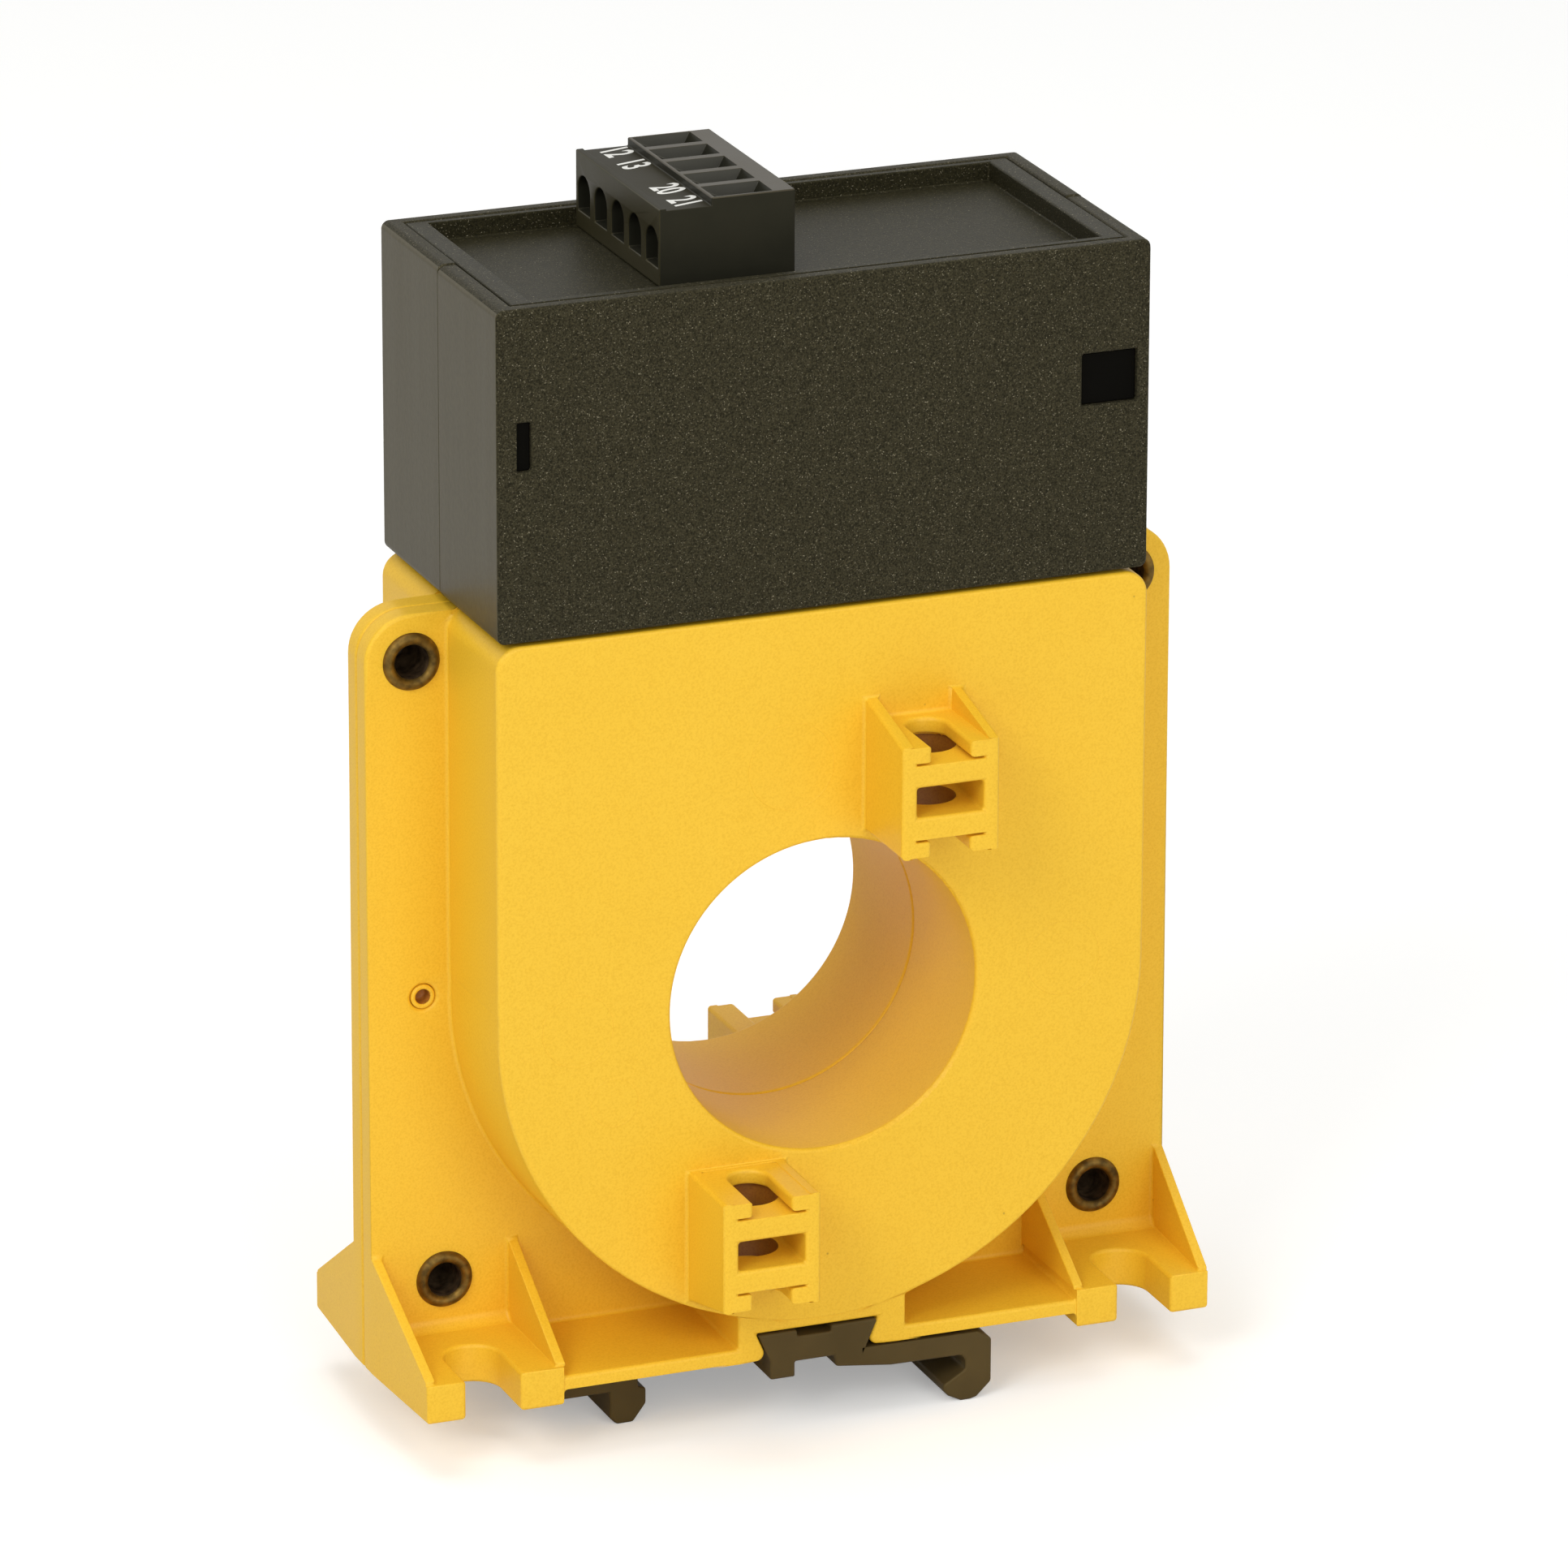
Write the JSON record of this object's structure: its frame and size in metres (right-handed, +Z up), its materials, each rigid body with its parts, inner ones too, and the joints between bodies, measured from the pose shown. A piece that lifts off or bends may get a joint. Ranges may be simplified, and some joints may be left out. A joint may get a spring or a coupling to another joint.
{
  "type": "residual current transformer",
  "caption": "Through-window current transformer with riveted half shells, an electronics box with a pluggable terminal block on top, screw feet and a mounting rail clip.",
  "frame": {"origin": "middle of the window's axis, half way through the housing", "axes": "+Y along the window's axis from front to rear, +X to the right seen from the front, +Z up towards the electronics box"},
  "size_m": [0.0924, 0.0564, 0.1363],
  "materials": {
    "yellow_housing": "moulded, satin",
    "eyelet_brass": "aged, dull",
    "core_steel": "tape wound",
    "core_case": "moulded",
    "enamelled_copper": "enamelled wire",
    "foam": "foam",
    "lead_insulation": "extruded insulation",
    "black_box": "spark-eroded grain",
    "black_cover": "fine grain",
    "smoked_guide": "smoked, clear",
    "black_trim": "moulded",
    "circuit_board": "solder resist",
    "chip_epoxy": "moulded epoxy",
    "capacitor_can": "drawn can",
    "led_lens": "clear lens",
    "connector_white": "moulded",
    "tinned_brass": "tinned",
    "black_plug": "moulded, satin",
    "spring_steel": "stainless strip",
    "contact_bronze": "rolled strip",
    "black_clip": "moulded"
  },
  "bodies": {
    "housing": {"front_shell": "yellow_housing", "rear_shell": "yellow_housing", "rivet_top_left": "eyelet_brass", "rivet_top_right": "eyelet_brass", "rivet_bottom_left": "eyelet_brass", "rivet_bottom_right": "eyelet_brass", "tape_core": "core_steel", "core_case": "core_case", "core_case_lid": "core_case", "secondary_winding": "enamelled_copper", "front_foam_ring": "foam", "rear_foam_ring": "foam", "winding_leads": "lead_insulation", "box_front": "black_box", "box_rear": "black_box", "top_cover": "black_cover", "light_guide": "smoked_guide", "blanking_plug": "black_trim", "circuit_board": "circuit_board", "board_chips": "chip_epoxy", "converter_module": "chip_epoxy", "capacitors": "capacitor_can", "status_led": "led_lens", "lead_connector": "connector_white", "terminal_header": "black_trim", "header_pins": "tinned_brass"},
    "plug": {"terminal_plug": "black_plug", "clamp_spring_1": "spring_steel", "clamp_spring_2": "spring_steel", "clamp_spring_3": "spring_steel", "clamp_spring_4": "spring_steel", "clamp_spring_5": "spring_steel", "plug_contact_1": "contact_bronze", "plug_contact_2": "contact_bronze", "plug_contact_3": "contact_bronze", "plug_contact_4": "contact_bronze", "plug_contact_5": "contact_bronze"},
    "clip": {"rail_clip": "black_clip"}
  },
  "joints": [
    {"name": "plug_pull", "type": "slide", "parent": "housing", "child": "plug", "axis": [0, 0, 1], "range_m": [0, 0.012]},
    {"name": "clip_slide", "type": "slide", "parent": "housing", "child": "clip", "axis": [0, -1, 0], "range_m": [-0.03, 0.03]}
  ]
}
